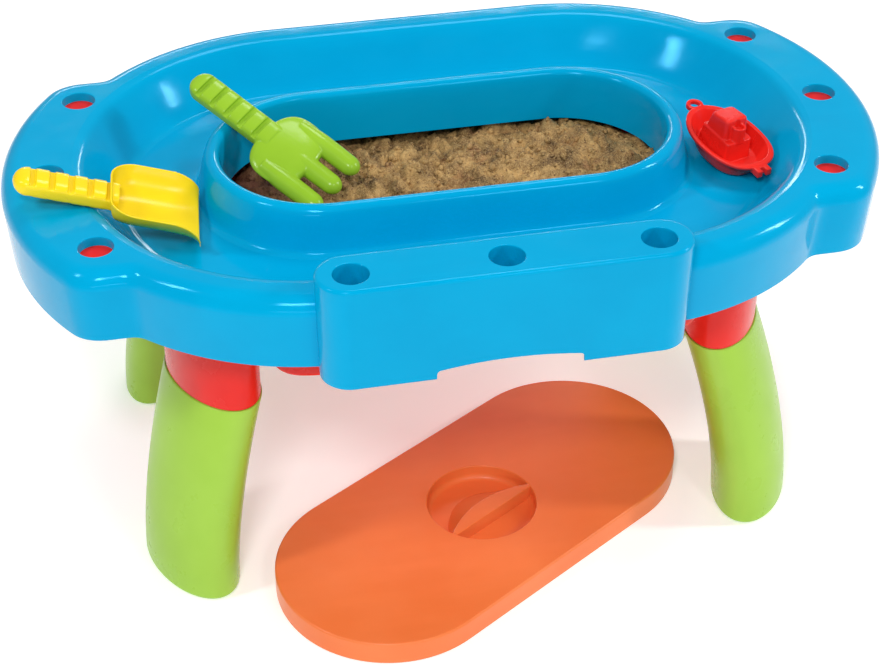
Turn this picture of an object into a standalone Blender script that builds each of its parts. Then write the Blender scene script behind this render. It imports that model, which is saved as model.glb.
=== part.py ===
"""Child's sand and water table: moulded top, sand tub, legs, lid and three toys.

Metres, +Z up, floor at z = 0.  Every physical piece is one named object.
"""
import math

import bmesh
import bpy
import numpy as np
from mathutils import Matrix, Vector

# ---------------------------------------------------------------- driving dimensions
TOP_Z = 0.4565                # height of the flat deck above the floor
WALL = 0.004                  # moulded wall of the big blue top
GAP = 0.0003                  # clearance between touching pieces

PIT_STRAIGHT = 0.153          # half the straight part of the sand pit
PIT_CREST = 0.130             # distance of the pit rim's crest from the pit's centre line
PIT_RIM_DROP = 0.001          # pit rim below the deck
SKIRT_DROP = 0.068            # lower edge of the pit's inner wall below the deck

BODY_LENGTH, BODY_WIDTH, BODY_CORNER = 0.484, 0.320, 0.314
RIM_WIDTH = 0.042             # deck between the outline and the moat's edge
MOAT_FLOOR = 0.058            # moat floor below the deck
END_LENGTH, END_WIDTH, END_CORNER = 0.534, 0.223, 0.020
END_BOW = 0.360               # plan radius of each end
EDGE_ROUND = 0.022            # rounding of the deck's outer edge
RIM_DROP = 0.091              # lower edge of the outer wall below the deck
WALL_DRAFT = 0.004            # the outer wall leans in this much at its lower edge

PAD_Y, PAD_STRAIGHT, PAD_RADIUS = -0.3185, 0.1735, 0.036
PAD_RISE = 0.033              # front pad above the deck
PAD_DROP = 0.099              # lower edge of the front pad below the deck
NOTCH_HALF, NOTCH_SIDE, NOTCH_RISE = 0.083, 0.012, 0.006

HOLE_RADIUS = 0.021
COLLAR = 0.003                # wall of the tube below each hole
END_HOLES = ((0.431, 0.165), (0.4775, 0.0), (0.431, -0.165))
PAD_HOLES = (-0.170, 0.0, 0.170)
PAD_HOLE_Y = -0.3205
CUP_DEPTH = 0.060             # blind cups in the front pad
TRAY_DROP = 0.012             # red end trays below the deck
TRAY_THICK = 0.003

LEG_U, LEG_V, LEG_TURN = 0.0463, 0.0832, math.radians(23.8)
LEG_TOP_X, LEG_TOP_Y, LEG_TOP_Z = 0.3138, 0.1539, TOP_Z - 0.205
LEG_SHIFT_X, LEG_SHIFT_Y, LEG_CURVE = 0.0467, 0.0433, 1.7
SOCKET_WALL = 0.0035
PLUG_LENGTH, PLUG_MIDDLE = 0.040, 0.018   # the socket's plug inside the leg

BOSS_RADIUS, BOSS_LENGTH = 0.0055, 0.020
SHANK_RADIUS, HEAD_RADIUS = 0.0018, 0.0038

TUB_WALL = 0.0035
TUB_SIDE, TUB_CORNER = 0.252, 0.030   # the tub stops short of the leg sockets
TUB_END = 0.150               # but bulges out below each end of the pit
TUB_TOP, TUB_EARS, TUB_FLOOR = 0.0635, 0.0823, 0.136   # below the deck
EAR_RADIUS, EAR_THICK, EAR_REACH = 0.010, 0.003, 0.0075
SAND_DROP = 0.087             # sand level in the pit below the deck
SAND_FALL = 0.024             # how much lower the sand lies at the tub's walls

LID_LENGTH, LID_RADIUS, LID_THICK = 0.298, 0.140, 0.031
LID_TURN = math.radians(32.2)
LID_FROM_TABLE = (0.006, -0.199)
GRIP_RADIUS, GRIP_DEPTH = 0.069, 0.020
GRIP_NEAR, GRIP_WIDTH, GRIP_SLOPE = -0.022, 0.021, 0.034   # straight near edge, bowed far edge
LID_WALL = 0.004

GROOVES, GROOVE_FIRST, GROOVE_PITCH = 5, 0.0215, 0.0218
GROOVE_WIDTH, GROOVE_DEPTH = 0.0068, 0.0056
HANDLE_HALF, HANDLE_HEIGHT = 0.0185, 0.023
SPADE_HANDLE, FORK_HANDLE = 0.120, 0.128
SCOOP_START, SCOOP_END, SCOOP_HALF, SCOOP_DEEP = 0.108, 0.2186, 0.0515, 0.032
SCOOP_WALL = 0.0026
PALM_START, PALM_LENGTH, PALM_HALF_THICK = 0.1125, 0.0750, 0.0104
FORK_HALF, TINE_START, TINE_END, TINE_RADIUS = 0.0495, 0.1405, 0.232, 0.0143
BOAT_LENGTH, BOAT_HALF, HULL_HEIGHT, HULL_FLOOR = 0.134, 0.043, 0.029, 0.008
CABIN_X, CABIN_STEP, CABIN_HEIGHT = 0.003, 0.035, 0.061   # middle, top of lower storey, roof
FUNNEL_X, FUNNEL_RADIUS, FUNNEL_HEIGHT = -0.0165, 0.0088, 0.054
BOW_RING, BOW_EYE, BOW_RING_THICK = 0.0108, 0.0062, 0.0060
# where each toy starts, from the table's centre and the deck, and how it lies (degrees)
SPADE_POINT, SPADE_TURN = (-0.517, -0.0625, 0.0262), (-4.0, 17.0, 5.0)
FORK_POINT, FORK_TURN = (-0.2907, 0.1267, 0.0275), (-43.8, 22.0, 18.0)
BOAT_POINT, BOAT_TURN = (0.3455, -0.039, -0.0512), (108.0, -7.0, 0.0)

# ---------------------------------------------------------------- worked-out places
LID_REACH = (LID_LENGTH - LID_RADIUS) * math.sin(LID_TURN) + LID_RADIUS
TABLE_Y = (LID_REACH - LID_FROM_TABLE[1] - BODY_WIDTH) / 2
LID_CENTRE = (LID_FROM_TABLE[0], LID_FROM_TABLE[1] + TABLE_Y)
UNDER_FLOOR = TOP_Z - MOAT_FLOOR - WALL
BOSS_END = UNDER_FLOOR - BOSS_LENGTH


def all_round(quarter):
    """Angles of one quarter, mirrored into the other three."""
    quarter = np.radians(quarter)
    half = np.concatenate([quarter, math.pi - quarter[::-1]])
    return np.concatenate([half, math.pi + half])


# closer together where the shelf and the tub have their corners
TURNS = all_round((2.5, 8, 13.5, 18.5, 22.5, 25, 27, 29.5, 33, 38.5, 44.5, 51, 57.5, 64, 71, 78, 85.5))
TUB_TURNS = all_round((4, 12, 19, 24, 30, 38, 44, 47.5, 51, 58, 68, 80))

BLUE, RED, GREEN = (0.0, 0.36, 0.70), (0.72, 0.02, 0.02), (0.36, 0.60, 0.09)
LIME, YELLOW, ORANGE = (0.38, 0.62, 0.05), (0.90, 0.72, 0.02), (0.83, 0.17, 0.04)
SAND, STEEL = (0.45, 0.30, 0.15), (0.60, 0.60, 0.62)


# ---------------------------------------------------------------- scene and material helpers
def clear_scene():
    for item in list(bpy.data.objects):
        bpy.data.objects.remove(item, do_unlink=True)


def paint(item, colour, roughness=0.35, metallic=0.0):
    """Give the object its own plain material."""
    material = bpy.data.materials.new(item.name + "_material")
    material.use_nodes = True
    shader = material.node_tree.nodes["Principled BSDF"]
    shader.inputs["Base Color"].default_value = (*colour, 1.0)
    shader.inputs["Roughness"].default_value = roughness
    shader.inputs["Metallic"].default_value = metallic
    item.data.materials.clear()
    item.data.materials.append(material)


def solid(name, points, faces):
    """A closed mesh object with outward normals."""
    mesh = bpy.data.meshes.new(name)
    mesh.from_pydata([tuple(map(float, p)) for p in points], [], faces)
    mesh.validate()
    work = bmesh.new()
    work.from_mesh(mesh)
    bmesh.ops.remove_doubles(work, verts=work.verts, dist=1e-6)
    bmesh.ops.recalc_face_normals(work, faces=work.faces)
    work.to_mesh(mesh)
    work.free()
    item = bpy.data.objects.new(name, mesh)
    bpy.context.scene.collection.objects.link(item)
    return item


def rings_solid(name, rings, hoop=False):
    """Skin a stack of equal rings; a hoop joins its last ring to its first."""
    count = len(rings[0])
    points = [p for ring in rings for p in ring]
    faces = []
    spans = len(rings) if hoop else len(rings) - 1
    for row in range(spans):
        low = row * count
        high = ((row + 1) % len(rings)) * count
        for i in range(count):
            j = (i + 1) % count
            faces.append((low + i, low + j, high + j, high + i))
    if not hoop:
        faces.append(tuple(reversed(range(count))))
        faces.append(tuple(range(len(points) - count, len(points))))
    return solid(name, points, faces)


def combine(base, tool, operation):
    """Apply an exact boolean and delete the tool."""
    tool.hide_render = True
    tool.display_type = 'WIRE'
    step = base.modifiers.new("cut", 'BOOLEAN')
    step.operation = operation
    step.solver = 'EXACT'
    step.object = tool
    graph = bpy.context.evaluated_depsgraph_get()
    mesh = bpy.data.meshes.new_from_object(base.evaluated_get(graph))
    base.modifiers.clear()
    old = base.data
    base.data = mesh
    bpy.data.meshes.remove(old)
    bpy.data.objects.remove(tool, do_unlink=True)
    return base


def cut(base, tool):
    return combine(base, tool, 'DIFFERENCE')


def join(base, tool):
    return combine(base, tool, 'UNION')


def finish(item, colour, roughness=0.35, metallic=0.0, sharp=35.0):
    """Merge stray points, shade smooth, paint and name the mesh."""
    work = bmesh.new()
    work.from_mesh(item.data)
    bmesh.ops.remove_doubles(work, verts=work.verts, dist=0.00005)
    bmesh.ops.dissolve_degenerate(work, edges=work.edges, dist=0.00005)
    bmesh.ops.recalc_face_normals(work, faces=work.faces)
    work.to_mesh(item.data)
    work.free()
    item.data.name = item.name
    item.data.shade_smooth()
    item.data.set_sharp_from_angle(angle=math.radians(sharp))
    paint(item, colour, roughness, metallic)
    return item


def cylinder(name, centre, radius, low, high, sides=24, top_radius=None):
    """An upright cylinder or cone between two heights."""
    turns = np.linspace(0, 2 * math.pi, sides, endpoint=False)
    rings = []
    for height, reach in ((low, radius), (high, top_radius or radius)):
        rings.append([(centre[0] + reach * math.cos(t), centre[1] + reach * math.sin(t), height)
                      for t in turns])
    return rings_solid(name, rings)


# ---------------------------------------------------------------- plan outlines
def smooth_min(a, b, blend):
    mix = np.clip(0.5 + 0.5 * (b - a) / blend, 0, 1)
    return b * (1 - mix) + a * mix - blend * mix * (1 - mix)


def smooth_max(a, b, blend):
    return -smooth_min(-a, -b, blend)


def rounded_box(x, y, length, width, corner):
    """Signed distance to a rectangle with round corners, centred on the origin."""
    dx = np.abs(x) - (length - corner)
    dy = np.abs(y) - (width - corner)
    outside = np.hypot(np.maximum(dx, 0), np.maximum(dy, 0))
    return outside + np.minimum(np.maximum(dx, dy), 0) - corner


def pit_plan(x, y):
    return np.hypot(np.maximum(np.abs(x) - PIT_STRAIGHT, 0), y)


def body_plan(x, y):
    return rounded_box(x, y, BODY_LENGTH, BODY_WIDTH, BODY_CORNER)


def moat_plan(x, y):
    return body_plan(x, y) + RIM_WIDTH


def tub_plan(x, y):
    """The moat's outline cut off beside the leg sockets, with a bulge below each pit end."""
    middle = smooth_max(moat_plan(x, y), np.abs(x) - TUB_SIDE, TUB_CORNER)
    return smooth_min(middle, pit_plan(x, y) - TUB_END, 0.010)


def outer_plan(x, y):
    """The oval body with a bowed shelf at each end."""
    bow = np.hypot(np.abs(x) - (END_LENGTH - END_BOW), y) - END_BOW
    end = smooth_max(np.abs(y) - END_WIDTH, bow, END_CORNER)
    return smooth_min(body_plan(x, y), end, 0.008)


def ring(plan, offset, drop, turns=TURNS):
    """Points where rays from the centre cross a plan outline grown by offset."""
    low = np.zeros_like(turns)
    high = np.full_like(turns, 0.7)
    for _ in range(40):
        middle = (low + high) / 2
        inside = plan(middle * np.cos(turns), middle * np.sin(turns)) < offset
        low = np.where(inside, middle, low)
        high = np.where(inside, high, middle)
    return [(r * math.cos(t), r * math.sin(t) + TABLE_Y, TOP_Z - drop) for r, t in zip(low, turns)]


# ---------------------------------------------------------------- blue top
def deck_edge(radius):
    """Offsets and drops of the rounded outer edge of the deck."""
    steps = []
    for degrees in (0, 30, 60, 90):
        turn = math.radians(degrees)
        steps.append((EDGE_ROUND - radius * math.sin(turn), EDGE_ROUND - radius * math.cos(turn)))
    return [(-inward, drop) for inward, drop in steps]


def top_outside():
    """The full outside of the top, closed by a plain face below."""
    pit = ((-0.012, SKIRT_DROP), (-0.009, 0.010), (-0.006, 0.0035), (0.0, PIT_RIM_DROP), (0.007, 0.0035),
           (0.011, 0.010), (0.019, 0.046), (0.023, 0.054), (0.030, MOAT_FLOOR))
    moat = ((-0.055, MOAT_FLOOR), (-0.044, 0.053), (-0.012, 0.012), (-0.004, 0.0035), (0.006, 0.0))
    rings = [ring(pit_plan, PIT_CREST + offset, drop) for offset, drop in pit]
    rings += [ring(moat_plan, offset, drop) for offset, drop in moat]
    rings += [ring(outer_plan, offset, drop) for offset, drop in deck_edge(EDGE_ROUND)]
    rings.append(ring(outer_plan, -WALL_DRAFT, RIM_DROP))
    return rings_solid("table_top", rings, hoop=True)


def top_inside():
    """The hollow below the top, one wall inside it and open downwards."""
    below = RIM_DROP + 0.06
    pit = ((-0.0080, below), (-0.005, 0.012), (0.001, 0.0055), (0.007, 0.012), (0.015, 0.047),
           (0.024, MOAT_FLOOR + WALL))
    moat = ((-0.047, MOAT_FLOOR + WALL), (-0.008, 0.0165), (0.003, WALL + 0.0015), (0.012, WALL))
    rings = [ring(pit_plan, PIT_CREST + offset, drop) for offset, drop in pit]
    rings += [ring(moat_plan, offset, drop) for offset, drop in moat]
    rings += [ring(outer_plan, offset, drop) for offset, drop in deck_edge(EDGE_ROUND - WALL)]
    rings.append(ring(outer_plan, -WALL_DRAFT - WALL, below))
    return rings_solid("top_hollow", rings, hoop=True)


def pad_ring(radius, drop):
    """A stadium around the front pad's line of holes."""
    points = []
    for side in (1, -1):
        for degrees in np.linspace(-90, 90, 10):
            turn = math.radians(degrees)
            points.append((side * (PAD_STRAIGHT + radius * math.cos(turn)),
                           PAD_Y + side * radius * math.sin(turn) + TABLE_Y, TOP_Z - drop))
    return points


def front_pad():
    edge = 0.003
    return rings_solid("pad", [pad_ring(PAD_RADIUS - 0.002, PAD_DROP), pad_ring(PAD_RADIUS, edge - PAD_RISE),
                               pad_ring(PAD_RADIUS - 0.001, 0.001 - PAD_RISE),
                               pad_ring(PAD_RADIUS - edge, -PAD_RISE)])


def pad_hollow():
    inner = PAD_RADIUS - WALL
    return rings_solid("pad_hollow", [pad_ring(inner - 0.002, PAD_DROP + 0.03), pad_ring(inner, WALL - PAD_RISE)])


def hand_notch():
    """Arched cutter for the hand hold in the pad's lower edge."""
    y_far = TABLE_Y + PAD_Y - PAD_RADIUS + 0.012
    y_near = TABLE_Y + PAD_Y - PAD_RADIUS - 0.010
    low = TOP_Z - PAD_DROP
    outline = [(-NOTCH_HALF, low - 0.02)]
    for x in np.linspace(-NOTCH_HALF + 0.002, NOTCH_HALF - 0.002, 9):
        arch = NOTCH_RISE * (1 - (x / NOTCH_HALF) ** 2)
        outline.append((x, low + NOTCH_SIDE + arch))
    outline.append((NOTCH_HALF, low - 0.02))
    return rings_solid("notch", [[(x, y, z) for x, z in outline] for y in (y_near, y_far)])


def end_hole_places():
    return [(side * x, y + TABLE_Y) for side in (-1, 1) for x, y in END_HOLES]


def pad_hole_places():
    return [(x, PAD_HOLE_Y + TABLE_Y) for x in PAD_HOLES]


def socket_screw_places():
    return [(sx * LEG_TOP_X, sy * LEG_TOP_Y + TABLE_Y) for sx in (-1, 1) for sy in (-1, 1)]


def tub_screw_places():
    reach = BODY_WIDTH - RIM_WIDTH + EAR_REACH
    return [(sx * 0.100, sy * reach + TABLE_Y) for sx in (-1, 1) for sy in (-1, 1)]


def tray_screw_places():
    return [(sx * 0.484, sy * 0.085 + TABLE_Y) for sx in (-1, 1) for sy in (-1, 1)]


def build_top():
    pad_top = TOP_Z + PAD_RISE
    cup_floor = pad_top - CUP_DEPTH
    hollow = join(top_inside(), pad_hollow())
    for place in end_hole_places():
        cut(hollow, cylinder("collar", place, HOLE_RADIUS + COLLAR, TOP_Z - TRAY_DROP + GAP, TOP_Z + 0.01))
    for place in pad_hole_places():
        cut(hollow, cylinder("cup", place, HOLE_RADIUS + COLLAR, cup_floor - COLLAR, pad_top + 0.01))
    for place in socket_screw_places():
        cut(hollow, cylinder("boss", place, BOSS_RADIUS, BOSS_END, UNDER_FLOOR + 0.002, 14))
    for place in tub_screw_places():
        cut(hollow, cylinder("boss", place, BOSS_RADIUS, BOSS_END, TOP_Z - 0.001, 14))
    for place in tray_screw_places():
        cut(hollow, cylinder("boss", place, BOSS_RADIUS, TOP_Z - TRAY_DROP + GAP, TOP_Z - 0.001, 14))

    top = cut(join(top_outside(), front_pad()), hollow)
    for place in end_hole_places():
        cut(top, cylinder("hole", place, HOLE_RADIUS, TOP_Z - TRAY_DROP - 0.01, TOP_Z + 0.01))
    for place in pad_hole_places():
        cut(top, cylinder("hole", place, HOLE_RADIUS, cup_floor, pad_top + 0.01))
    for place in socket_screw_places() + tub_screw_places():
        cut(top, cylinder("pilot", place, SHANK_RADIUS + GAP, BOSS_END - 0.01, BOSS_END + 0.016, 10))
    for place in tray_screw_places():
        low = TOP_Z - TRAY_DROP
        cut(top, cylinder("pilot", place, SHANK_RADIUS + GAP, low - 0.01, low + 0.009, 10))
    cut(top, hand_notch())
    return finish(top, BLUE)


# ---------------------------------------------------------------- red pieces below the top
def build_tub():
    """Shallow pan below the pit and the moat, hung by four ears."""
    outside = [(-0.006, TUB_FLOOR), (0.0, TUB_FLOOR - 0.006), (0.0, TUB_TOP)]
    inside = [(-TUB_WALL, TUB_TOP), (-TUB_WALL, TUB_FLOOR - 0.009), (-TUB_WALL - 0.005, TUB_FLOOR - TUB_WALL)]
    tub = rings_solid("sand_tub", [ring(tub_plan, offset, drop, TUB_TURNS) for offset, drop in outside + inside])
    high = TOP_Z - TUB_EARS
    for place in tub_screw_places():
        join(tub, cylinder("ear", place, EAR_RADIUS, high - EAR_THICK, high, 16))
        cut(tub, cylinder("clear", place, SHANK_RADIUS + GAP, high - 0.01, high + 0.01, 10))
    return finish(tub, RED)


def sand_height(x, y):
    """Sand surface: heaped towards the right end, dug out at the left, low below the moat."""
    heap = 0.017 * np.exp(-((x - 0.17) ** 2 / 0.012 + (y - 0.02) ** 2 / 0.008))
    dug = 0.012 * np.exp(-((x + 0.24) ** 2 / 0.006 + y ** 2 / 0.010))
    ripple = 0.0020 * np.sin(41 * x + 9 * y) * np.cos(53 * y - 13 * x)
    away = np.clip((pit_plan(x, y) - 0.105) / 0.11, 0, 1)
    return TOP_Z - SAND_DROP + heap - dug + ripple - SAND_FALL * away * away * (3 - 2 * away)


def build_sand():
    edge = -TUB_WALL - 0.001
    rings = [ring(tub_plan, edge - 0.005, TUB_FLOOR - TUB_WALL - GAP, TUB_TURNS),
             ring(tub_plan, edge, TUB_FLOOR - 0.010, TUB_TURNS)]
    outline = ring(tub_plan, edge, 0.0, TUB_TURNS)
    for share in (1.0, 0.86, 0.72, 0.58, 0.44, 0.30, 0.16, 0.04):
        level = []
        for x, y, _ in outline:
            px, py = x * share, (y - TABLE_Y) * share
            level.append((px, py + TABLE_Y, float(sand_height(px, py))))
        rings.append(level)
    return finish(rings_solid("sand_fill", rings), SAND, 0.9)


def build_tray(side, name):
    """Flat red tray that closes the three holes of one end from below."""
    turns = np.radians(np.linspace(-25.5, 25.5, 15))
    high, low = TRAY_DROP, TRAY_DROP + TRAY_THICK
    edges = []
    for drop in (high, low):
        inner = ring(moat_plan, 0.004, drop, turns)
        outer = ring(outer_plan, -0.014, drop, turns)
        outline = inner + outer[::-1]
        edges.append([(side * x, y, z) for x, y, z in outline])
    count = len(edges[0])
    half = count // 2
    faces = []
    for base, flip in ((0, False), (count, True)):
        for i in range(half - 1):
            quad = (base + i, base + i + 1, base + count - 2 - i, base + count - 1 - i)
            faces.append(tuple(reversed(quad)) if flip else quad)
    for i in range(count):
        j = (i + 1) % count
        faces.append((i, j, count + j, count + i))
    tray = solid(name, edges[0] + edges[1], faces)
    for x, y in tray_screw_places():
        if x * side > 0:
            cut(tray, cylinder("clear", (x, y), SHANK_RADIUS + GAP, TOP_Z - 0.03, TOP_Z, 10))
    return finish(tray, RED)


# ---------------------------------------------------------------- legs
def leg_centre(height):
    """Where the middle of the leg is at a height: it bows outwards to the foot."""
    fall = min(max((LEG_TOP_Z - height) / LEG_TOP_Z, 0.0), 1.0)
    bow = 1 - (1 - fall) ** LEG_CURVE
    return LEG_TOP_X + LEG_SHIFT_X * bow, LEG_TOP_Y + LEG_SHIFT_Y * bow


def leg_ring(sx, sy, inset, height, sides=20):
    """The leg's oval, made smaller all round by inset."""
    cx, cy = leg_centre(height)
    points = []
    for t in np.linspace(0, 2 * math.pi, sides, endpoint=False):
        u = (LEG_U - inset) * math.cos(t)
        v = (LEG_V - inset) * math.sin(t)
        x = cx + u * math.cos(LEG_TURN) - v * math.sin(LEG_TURN)
        y = cy + u * math.sin(LEG_TURN) + v * math.cos(LEG_TURN)
        points.append((sx * x, sy * y + TABLE_Y, height))
    return points


def build_leg(sx, sy, name):
    steps = [0.010, 0.055, 0.110, 0.165]
    outside = [(0.012, 0.0), (0.003, 0.003)] + [(0.0, z) for z in steps] + [(0.0, LEG_TOP_Z)]
    fit = [(WALL, LEG_TOP_Z), (WALL, LEG_TOP_Z - PLUG_MIDDLE), (WALL, LEG_TOP_Z - PLUG_LENGTH)]
    inside = fit + [(WALL, z) for z in reversed(steps)] + [(0.014, WALL)]
    rings = [leg_ring(sx, sy, inset, height) for inset, height in outside + inside]
    return finish(rings_solid(name, rings), GREEN)


def build_socket(sx, sy, name):
    """Red collar above the leg, with a plug that reaches down inside it."""
    shoulder = LEG_TOP_Z + GAP
    plug_low = LEG_TOP_Z - PLUG_LENGTH
    plug_middle = LEG_TOP_Z - PLUG_MIDDLE
    plug = WALL + GAP
    inner = plug + SOCKET_WALL
    web = BOSS_END - GAP
    outside = [(inner, plug_low), (plug, plug_low), (plug, plug_middle), (plug, shoulder), (0.0015, shoulder),
               (0.0015, UNDER_FLOOR - GAP), (0.0015 + SOCKET_WALL, UNDER_FLOOR - GAP), (0.0015 + SOCKET_WALL, web)]
    body = rings_solid(name, [leg_ring(sx, sy, inset, height) for inset, height in outside])
    hollow = [(inner, plug_low - 0.01), (inner, plug_middle), (inner, shoulder),
              (inner, web - SOCKET_WALL)]
    cut(body, rings_solid("hollow", [leg_ring(sx, sy, inset, height) for inset, height in hollow]))
    place = (sx * LEG_TOP_X, sy * LEG_TOP_Y + TABLE_Y)
    cut(body, cylinder("clear", place, SHANK_RADIUS + GAP, web - 0.02, web + 0.01, 10))
    return finish(body, RED)


# ---------------------------------------------------------------- screws
def build_screw(name, place, seat, length):
    """Pan-head screw driven upwards; seat is the height of its head's upper face."""
    x, y = place
    head = ((0.0026, -0.0026), (HEAD_RADIUS, -0.0014), (HEAD_RADIUS, 0.0), (SHANK_RADIUS, 0.0),
            (SHANK_RADIUS, length - 0.002), (0.0004, length))
    turns = np.linspace(0, 2 * math.pi, 8, endpoint=False)
    rings = [[(x + r * math.cos(t), y + r * math.sin(t), seat + z) for t in turns] for r, z in head]
    screw = rings_solid(name, rings)
    cut(screw, box_solid("slot", (x, y, seat - 0.0026), (0.01, 0.0005, 0.0010)))
    return finish(screw, STEEL, 0.3, 1.0)


def box_solid(name, centre, half, angle=0.0):
    corners = [(sx * half[0], sy * half[1], sz * half[2])
               for sz in (-1, 1) for sx, sy in ((-1, -1), (1, -1), (1, 1), (-1, 1))]
    turn = Matrix.Rotation(angle, 3, 'Z')
    points = [Vector(centre) + turn @ Vector(c) for c in corners]
    return rings_solid(name, [points[:4], points[4:]])


# ---------------------------------------------------------------- lid
def build_lid():
    """Lid laid flat on the floor, top side up, with a grip across a round recess."""
    straight = LID_LENGTH - LID_RADIUS

    def level(radius, height):
        points = []
        for side in (1, -1):
            for degrees in np.linspace(-90, 90, 14):
                turn = math.radians(degrees)
                points.append((side * (straight + radius * math.cos(turn)), side * radius * math.sin(turn), height))
        return points

    body = [(LID_RADIUS - 0.003, 0.0), (LID_RADIUS, 0.003), (LID_RADIUS, LID_THICK - 0.009),
            (LID_RADIUS - 0.0025, LID_THICK - 0.0028), (LID_RADIUS - 0.009, LID_THICK)]
    lid = rings_solid("lid", [level(r, z) for r, z in body])
    recess_floor = LID_THICK - GRIP_DEPTH
    cut(lid, rings_solid("recess", [circle(GRIP_RADIUS - 0.010, recess_floor), circle(GRIP_RADIUS, recess_floor + 0.008),
                                    circle(GRIP_RADIUS, LID_THICK + 0.01)]))
    join(lid, grip_bar(recess_floor))
    hollow_low = [level(LID_RADIUS - LID_WALL, -0.01), level(LID_RADIUS - LID_WALL, LID_THICK - 0.012),
                  level(LID_RADIUS - 0.012, LID_THICK - LID_WALL)]
    under = rings_solid("under", hollow_low)
    cut(under, cylinder("keep", (0, 0), GRIP_RADIUS + LID_WALL, recess_floor - LID_WALL, LID_THICK + 0.01, 32))
    cut(lid, under)
    lid.data.transform(Matrix.Translation((*LID_CENTRE, 0.0)) @ Matrix.Rotation(LID_TURN, 4, 'Z'))
    return finish(lid, ORANGE)


def circle(radius, height, sides=32):
    return [(radius * math.cos(t), radius * math.sin(t), height)
            for t in np.linspace(0, 2 * math.pi, sides, endpoint=False)]


def grip_bar(floor):
    """Bar across the recess: upright near side, lens-shaped top, sloping far side."""
    crown = LID_THICK - 0.001
    rings = []
    for s in np.linspace(-1, 1, 15):
        bulge = 1 - s * s
        near = GRIP_NEAR
        far = near + 0.003 + GRIP_WIDTH * bulge
        foot = far + 0.002 + GRIP_SLOPE * bulge
        profile = ((near, floor - 0.002), (foot, floor - 0.002), (far + 0.001, crown - 0.0015),
                   (far - 0.001, crown), (near + 0.001, crown), (near, crown - 0.001))
        rings.append([(s * GRIP_RADIUS, y, z) for y, z in profile])
    return rings_solid("grip", rings)


# ---------------------------------------------------------------- toys
def toy_handle(length):
    """A handle along +X from its rounded end, with cross grooves above and below."""
    rings = []
    for share in (0.0, 0.02, 0.07, 0.14, 0.5, 1.0):
        swell = math.sqrt(max(1 - (1 - min(share / 0.14, 1)) ** 2, 0.06))
        ring_points = []
        for t in np.linspace(0, 2 * math.pi, 16, endpoint=False):
            c, s = math.cos(t), math.sin(t)
            y = HANDLE_HALF * swell * math.copysign(abs(c) ** 0.6, c)
            z = HANDLE_HEIGHT / 2 * (1 + swell * math.copysign(abs(s) ** 0.6, s))
            ring_points.append((share * length, y, z))
        rings.append(ring_points)
    handle = rings_solid("handle", rings)
    for index in range(GROOVES):
        x = GROOVE_FIRST + index * GROOVE_PITCH
        for low, high in ((HANDLE_HEIGHT - GROOVE_DEPTH, HANDLE_HEIGHT + 0.01), (-0.01, GROOVE_DEPTH * 0.7)):
            middle = (low + high) / 2
            size = (GROOVE_WIDTH / 2, HANDLE_HALF * 1.2, (high - low) / 2)
            cut(handle, box_solid("groove", (x, 0, middle), size))
    return handle


def place_toy(item, point, angles):
    """Turn a toy built along +X and stand it at a point given from the table's centre."""
    yaw, pitch, roll = (math.radians(angle) for angle in angles)
    turn = Matrix.Rotation(yaw, 4, 'Z') @ Matrix.Rotation(pitch, 4, 'Y') @ Matrix.Rotation(roll, 4, 'X')
    item.data.transform(turn)
    item.location = (point[0], point[1] + TABLE_Y, point[2] + TOP_Z)
    return item


def scoop_point(share, across, thick):
    """A point of the spade's trough: share runs to the tip, across from side to side."""
    shoulder = math.sqrt(1 - (1 - min(share / 0.30, 1)) ** 2)
    half = SCOOP_HALF * (0.42 + 0.58 * shoulder)
    fall = math.sqrt(max(1 - max((share - 0.62) / 0.38, 0) ** 2, 0.0))
    side = abs(across) ** 3.5 * (0.10 + 0.90 * fall)
    back = max(1 - share / 0.16, 0) ** 2
    wall = max(side, back)
    x = SCOOP_START + (SCOOP_END - SCOOP_START) * share + thick * back
    y = half * across * (1 - thick / SCOOP_HALF * side)
    return (x, y, SCOOP_DEEP * (wall - 0.55) + HANDLE_HEIGHT / 2 + thick * (1 - wall))


def build_spade():
    shares = (0.0, 0.04, 0.08, 0.16, 0.30, 0.62, 0.80, 0.92, 1.0)
    across = np.linspace(-1, 1, 13)
    rings = []
    for share in shares:
        upper = [scoop_point(share, v, SCOOP_WALL) for v in across]
        lower = [scoop_point(share, v, 0.0) for v in across]
        rings.append(lower + upper[::-1])
    scoop = rings_solid("spade", rings)
    spade = join(scoop, toy_handle(SPADE_HANDLE))
    return finish(place_toy(spade, SPADE_POINT, SPADE_TURN), YELLOW)


def build_fork():
    """Fork with a broad palm and three thick round tines."""
    rings = []
    for share in np.sin(np.linspace(-1.5, 1.5, 11)):
        reach = (1 - abs(share) ** 2.6) ** (1 / 2.6)
        x = PALM_START + PALM_LENGTH / 2 * (1 + share)
        ring_points = []
        for t in np.linspace(0, 2 * math.pi, 16, endpoint=False):
            ring_points.append((x, FORK_HALF * reach * math.cos(t),
                                HANDLE_HEIGHT / 2 + PALM_HALF_THICK * reach ** 0.4 * math.sin(t)))
        rings.append(ring_points)
    fork = rings_solid("fork", rings)
    join(fork, toy_handle(FORK_HANDLE))
    for side in (-1, 0, 1):
        join(fork, tine(side * (FORK_HALF - TINE_RADIUS)))
    return finish(place_toy(fork, FORK_POINT, FORK_TURN), LIME)


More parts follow.
